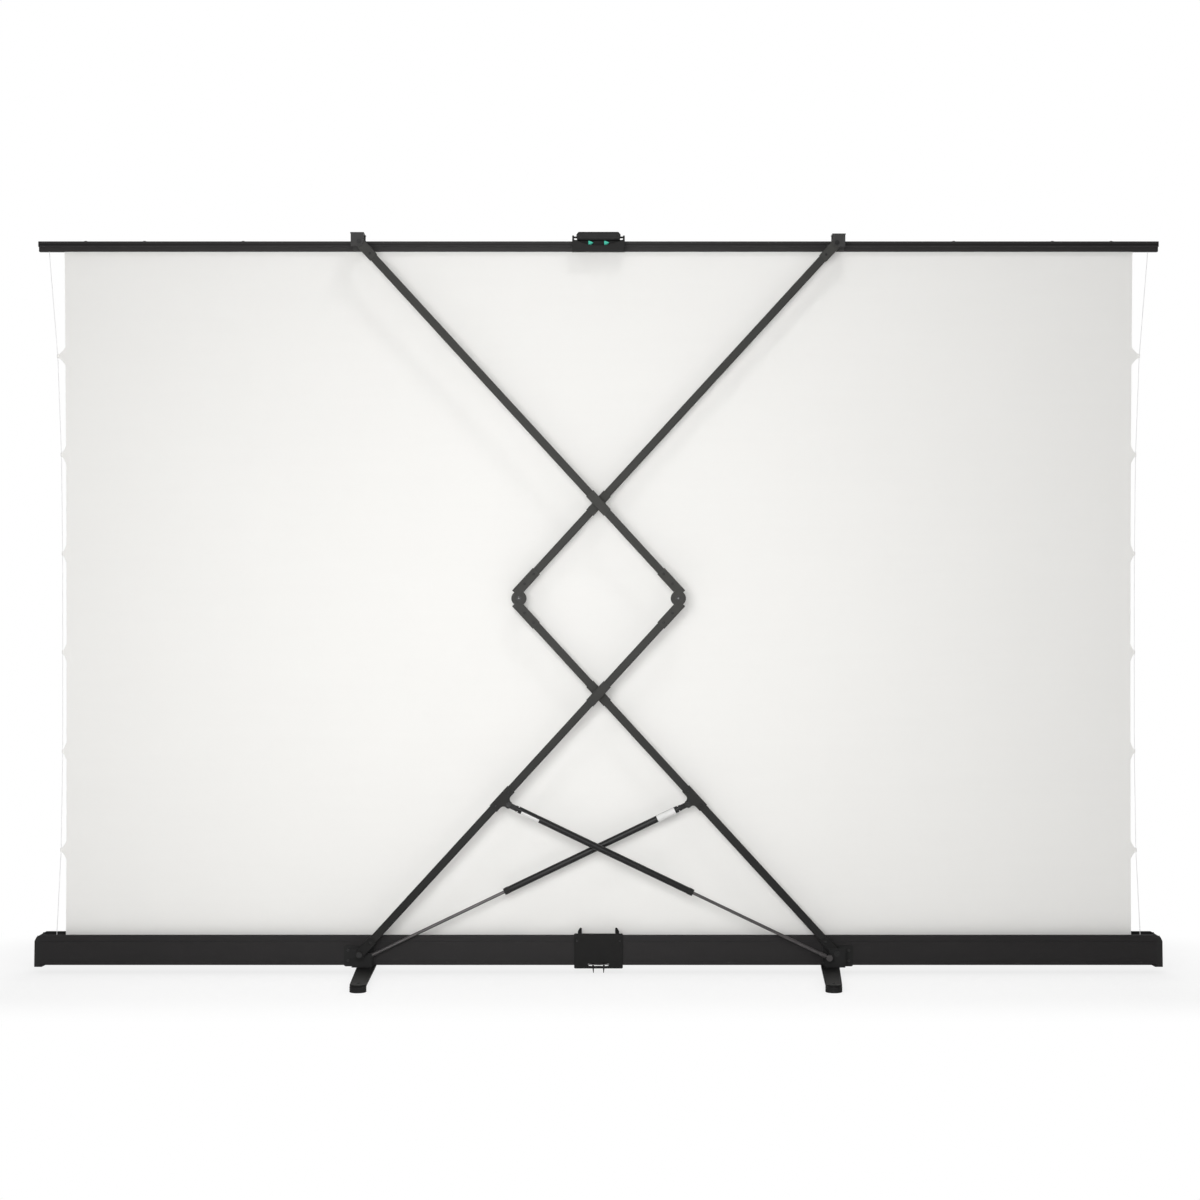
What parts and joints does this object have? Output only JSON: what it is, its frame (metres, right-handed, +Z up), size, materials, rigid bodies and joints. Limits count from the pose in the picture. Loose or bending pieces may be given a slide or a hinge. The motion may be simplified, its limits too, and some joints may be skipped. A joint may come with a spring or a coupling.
{
  "type": "pull-up projection screen",
  "caption": "Floor-standing projection screen: fabric pulled up from a long roller case by a two-stage scissor frame with gas struts and swivel feet.",
  "frame": {"origin": "on the floor, under the middle of the case", "axes": "+Z up, +X along the case, +Y towards the viewing side, so the scissor frame stands on the -Y side"},
  "size_m": [2.85, 0.6788, 1.875],
  "materials": {
    "case_paint": "satin black powder coat",
    "cap_plastic": "fine texture",
    "bracket_paint": "satin black",
    "foot_paint": "satin black",
    "pad_rubber": "moulded",
    "arm_paint": "satin dark grey",
    "fitting_plastic": "moulded, fine texture",
    "steel": "zinc plated",
    "dark_steel": "blackened",
    "strut_paint": "gloss black",
    "rod_steel": "polished",
    "roller_aluminium": "mill finish",
    "plug_plastic": "moulded",
    "saddle_plastic": "moulded, fine texture",
    "latch_plastic": "moulded",
    "grip_rubber": "soft grip",
    "bumper_rubber": "green moulded",
    "screen_fabric": "matt white, coated",
    "cord_white": "braided"
  },
  "bodies": {
    "case": {"case_extrusion": "case_paint", "left_end_cap": "cap_plastic", "right_end_cap": "cap_plastic", "case_screws": "dark_steel", "roller_brackets": "steel", "roller_shafts": "steel", "latch_cover": "saddle_plastic", "latch_spring": "steel", "left_base_bracket": "bracket_paint", "right_base_bracket": "bracket_paint", "base_pivot_pins": "dark_steel", "foot_bolts": "dark_steel", "projection_screen": "screen_fabric", "side_tabs": "screen_fabric", "tension_cords": "cord_white"},
    "roller": {"roller_tube": "roller_aluminium", "roller_plugs": "plug_plastic", "rolled_fabric": "screen_fabric", "roller_spring": "steel"},
    "left_foot": {"left_foot_bar": "foot_paint", "left_foot_pads": "pad_rubber"},
    "right_foot": {"right_foot_bar": "foot_paint", "right_foot_pads": "pad_rubber"},
    "left_lower_arm": {"left_lower_tube": "arm_paint", "left_lower_end_fitting": "fitting_plastic", "left_lower_elbow": "fitting_plastic", "left_lower_elbow_pin": "dark_steel", "left_strut_saddle": "fitting_plastic", "left_strut_pin": "dark_steel"},
    "right_lower_arm": {"right_lower_tube": "arm_paint", "right_lower_end_fitting": "fitting_plastic", "right_lower_elbow": "fitting_plastic", "right_lower_elbow_pin": "dark_steel", "right_strut_saddle": "fitting_plastic", "right_strut_pin": "dark_steel"},
    "left_upper_arm": {"left_upper_tube": "arm_paint", "left_upper_end_fitting": "fitting_plastic", "left_upper_elbow": "fitting_plastic"},
    "right_upper_arm": {"right_upper_tube": "arm_paint", "right_upper_end_fitting": "fitting_plastic", "right_upper_elbow": "fitting_plastic"},
    "left_lower_slider": {"left_lower_coupler": "fitting_plastic"},
    "right_lower_slider": {"right_lower_coupler": "fitting_plastic"},
    "left_upper_slider": {"left_upper_coupler": "fitting_plastic"},
    "right_upper_slider": {"right_upper_coupler": "fitting_plastic"},
    "left_strut": {"left_strut_cylinder": "strut_paint"},
    "right_strut": {"right_strut_cylinder": "strut_paint"},
    "left_rod": {"left_strut_rod": "rod_steel"},
    "right_rod": {"right_strut_rod": "rod_steel"},
    "bar": {"top_bar": "case_paint", "bar_end_caps": "cap_plastic", "left_top_bracket": "bracket_paint", "right_top_bracket": "bracket_paint", "top_pivot_pins": "dark_steel", "handle_saddle": "saddle_plastic", "handle_bumpers": "bumper_rubber"},
    "grip": {"handle_grip": "grip_rubber"},
    "left_latch_slide": {"left_latch": "latch_plastic"},
    "right_latch_slide": {"right_latch": "latch_plastic"}
  },
  "joints": [
    {"name": "fold", "type": "hinge", "parent": "case", "child": "left_lower_arm", "pos_m": [-0.6, -0.0725, 0.054], "axis": [0, 1, 0], "range_deg": [0, 46.56], "deforming": ["projection_screen", "side_tabs", "tension_cords"]},
    {"name": "right_base_pivot", "type": "hinge", "parent": "case", "child": "right_lower_arm", "pos_m": [0.6, -0.0505, 0.054], "axis": [0, 1, 0], "range_deg": [-46.56, 0]},
    {"name": "right_elbow", "type": "hinge", "parent": "left_lower_arm", "child": "left_upper_arm", "pos_m": [0.20039, -0.0725, 0.94819], "axis": [0, 1, 0], "range_deg": [-93.12, 0]},
    {"name": "left_elbow", "type": "hinge", "parent": "right_lower_arm", "child": "right_upper_arm", "pos_m": [-0.20039, -0.0505, 0.94819], "axis": [0, 1, 0], "range_deg": [0, 93.12]},
    {"name": "left_top_pivot", "type": "hinge", "parent": "left_upper_arm", "child": "bar", "pos_m": [-0.6, -0.0725, 1.84238], "axis": [0, 1, 0], "range_deg": [0, 46.56]},
    {"name": "left_lower_slide", "type": "slide", "parent": "left_lower_arm", "child": "left_lower_slider", "axis": [-0.6756, 0, -0.7373], "range_m": [0, 0.28804]},
    {"name": "right_lower_slide", "type": "slide", "parent": "right_lower_arm", "child": "right_lower_slider", "axis": [0.6756, 0, -0.7373], "range_m": [0, 0.28804]},
    {"name": "left_upper_slide", "type": "slide", "parent": "left_upper_arm", "child": "left_upper_slider", "axis": [-0.6756, 0, 0.7373], "range_m": [0, 0.28804]},
    {"name": "right_upper_slide", "type": "slide", "parent": "right_upper_arm", "child": "right_upper_slider", "axis": [0.6756, 0, 0.7373], "range_m": [0, 0.28804]},
    {"name": "left_strut_pivot", "type": "hinge", "parent": "left_lower_arm", "child": "left_strut", "pos_m": [-0.22572, -0.0725, 0.42989], "axis": [0, 1, 0], "range_deg": [-72.48, 0]},
    {"name": "right_strut_pivot", "type": "hinge", "parent": "right_lower_arm", "child": "right_strut", "pos_m": [0.22572, -0.0505, 0.42989], "axis": [0, 1, 0], "range_deg": [0, 72.48]},
    {"name": "left_strut_stroke", "type": "slide", "parent": "left_strut", "child": "left_rod", "axis": [-0.9023, 0, 0.431], "range_m": [0, 0.24322]},
    {"name": "right_strut_stroke", "type": "slide", "parent": "right_strut", "child": "right_rod", "axis": [0.9023, 0, 0.431], "range_m": [0, 0.24322]},
    {"name": "roller_spin", "type": "hinge", "parent": "case", "child": "roller", "pos_m": [0, 0.01, 0.06], "axis": [1, 0, 0], "range_deg": [0, 5000]},
    {"name": "left_foot_swivel", "type": "hinge", "parent": "case", "child": "left_foot", "pos_m": [-0.588, 0, 0.016], "axis": [0, 0, 1], "range_deg": [0, 88.4]},
    {"name": "right_foot_swivel", "type": "hinge", "parent": "case", "child": "right_foot", "pos_m": [0.588, 0, 0.016], "axis": [0, 0, 1], "range_deg": [-86.2, 0]},
    {"name": "grip_tilt", "type": "hinge", "parent": "bar", "child": "grip", "pos_m": [0, -0.024, 1.86148], "axis": [1, 0, 0], "range_deg": [0, 20], "stiffness_Nm_per_rad": 0.6, "springref_deg": -14.32},
    {"name": "left_latch_squeeze", "type": "slide", "parent": "case", "child": "left_latch_slide", "axis": [1, 0, 0], "range_m": [0, 0.004], "stiffness_N_per_m": 600, "springref_m": -0.006},
    {"name": "right_latch_squeeze", "type": "slide", "parent": "case", "child": "right_latch_slide", "axis": [-1, 0, 0], "range_m": [0, 0.004], "stiffness_N_per_m": 600, "springref_m": -0.006}
  ],
  "couplings": [
    {"joint": "right_base_pivot", "follows": "fold", "ratio": -1},
    {"joint": "right_elbow", "follows": "fold", "ratio": -2},
    {"joint": "left_elbow", "follows": "fold", "ratio": 2},
    {"joint": "left_top_pivot", "follows": "fold", "ratio": 1},
    {"joint": "left_lower_slide", "follows": "fold", "m_per_rad": 0.35445},
    {"joint": "right_lower_slide", "follows": "fold", "m_per_rad": 0.35445},
    {"joint": "left_upper_slide", "follows": "fold", "m_per_rad": 0.35445},
    {"joint": "right_upper_slide", "follows": "fold", "m_per_rad": 0.35445},
    {"joint": "left_strut_pivot", "follows": "fold", "ratio": -1.5566},
    {"joint": "right_strut_pivot", "follows": "fold", "ratio": 1.5566},
    {"joint": "left_strut_stroke", "follows": "fold", "m_per_rad": 0.29929},
    {"joint": "right_strut_stroke", "follows": "fold", "m_per_rad": 0.29929},
    {"joint": "roller_spin", "follows": "fold", "ratio": 107.28},
    {"joint": "right_latch_squeeze", "follows": "left_latch_squeeze", "ratio": 1}
  ]
}
